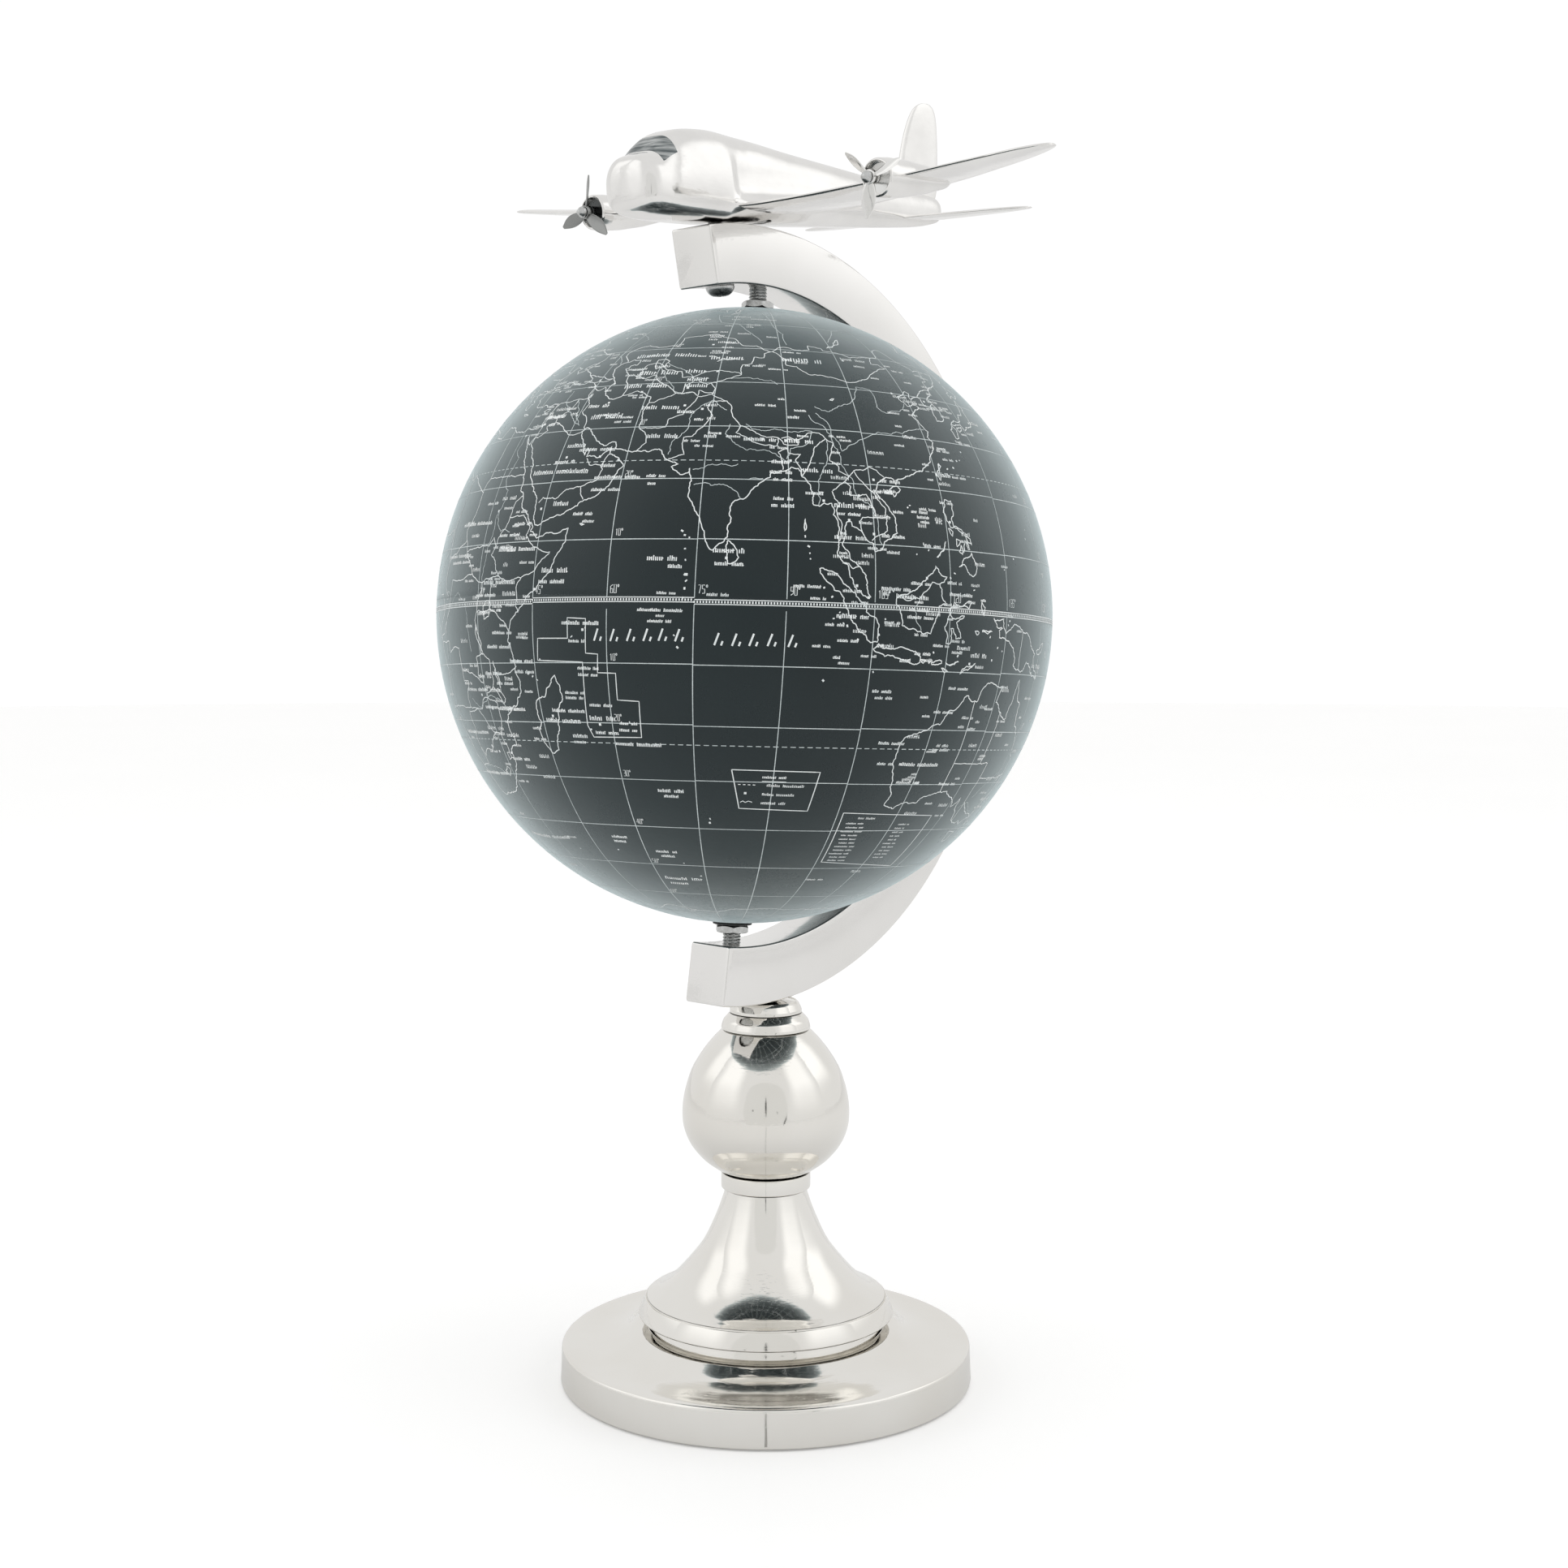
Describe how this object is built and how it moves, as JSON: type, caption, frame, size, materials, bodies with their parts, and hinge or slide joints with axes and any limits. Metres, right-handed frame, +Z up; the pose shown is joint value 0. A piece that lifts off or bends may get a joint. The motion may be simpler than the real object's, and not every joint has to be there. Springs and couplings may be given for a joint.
{
  "type": "desk globe",
  "caption": "Desk globe spinning between pivots in a crescent arm on a turned metal pedestal, with a model aeroplane on top of the arm.",
  "frame": {"origin": "middle of the flat underside of the base pad, on the stem's axis", "axes": "+Z up along the stem; the arm lies in the XZ plane and bulges towards +X; the aeroplane's nose points to -X and its port wing to -Y"},
  "size_m": [0.2263, 0.2358, 0.4349],
  "materials": {
    "felt": "pressed black felt",
    "polished_stand": "mirror polished, turned",
    "polished_arm": "mirror polished bar",
    "polished_plane": "polished casting",
    "zinc_hardware": "zinc plated",
    "map_shell": "satin dark slate map with white lines",
    "nylon": "black nylon"
  },
  "bodies": {
    "stand": {"base_pad": "felt", "base_disc": "polished_stand", "step_ring": "polished_stand", "bell_foot": "polished_stand", "stem_collar": "polished_stand", "stem_bulb": "polished_stand", "cap_ring_lower": "polished_stand", "cap_ring_upper": "polished_stand", "tie_rod": "zinc_hardware", "tie_rod_washer": "zinc_hardware", "tie_rod_nut": "zinc_hardware", "arm": "polished_arm", "pivot_bolt_north": "zinc_hardware", "pivot_bolt_south": "zinc_hardware", "lock_nut_north": "zinc_hardware", "lock_nut_south": "zinc_hardware", "aeroplane_screw": "zinc_hardware", "fuselage": "polished_plane", "wing_port": "polished_plane", "wing_starboard": "polished_plane", "tail_fin": "polished_plane", "stabiliser": "polished_plane", "engine_nacelle_port": "polished_plane", "engine_nacelle_starboard": "polished_plane", "propeller_pin_port": "zinc_hardware", "propeller_pin_starboard": "zinc_hardware"},
    "globe": {"globe_shell_north": "map_shell", "globe_shell_south": "map_shell", "pole_bushing_north": "nylon", "pole_bushing_south": "nylon"},
    "propeller_port": {"propeller_port": "polished_plane"},
    "propeller_starboard": {"propeller_starboard": "polished_plane"}
  },
  "joints": [
    {"name": "globe_spin", "type": "hinge", "parent": "stand", "child": "globe", "pos_m": [-0.0101, 0, 0.2515], "axis": [0.0593, 0, 0.9982], "continuous": true},
    {"name": "propeller_port_spin", "type": "hinge", "parent": "stand", "child": "propeller_port", "pos_m": [-0.01979, -0.06385, 0.38482], "axis": [-0.994, 0, -0.1097], "continuous": true},
    {"name": "propeller_starboard_spin", "type": "hinge", "parent": "stand", "child": "propeller_starboard", "pos_m": [-0.02037, 0.06304, 0.39011], "axis": [-0.994, 0, -0.1097], "continuous": true}
  ]
}
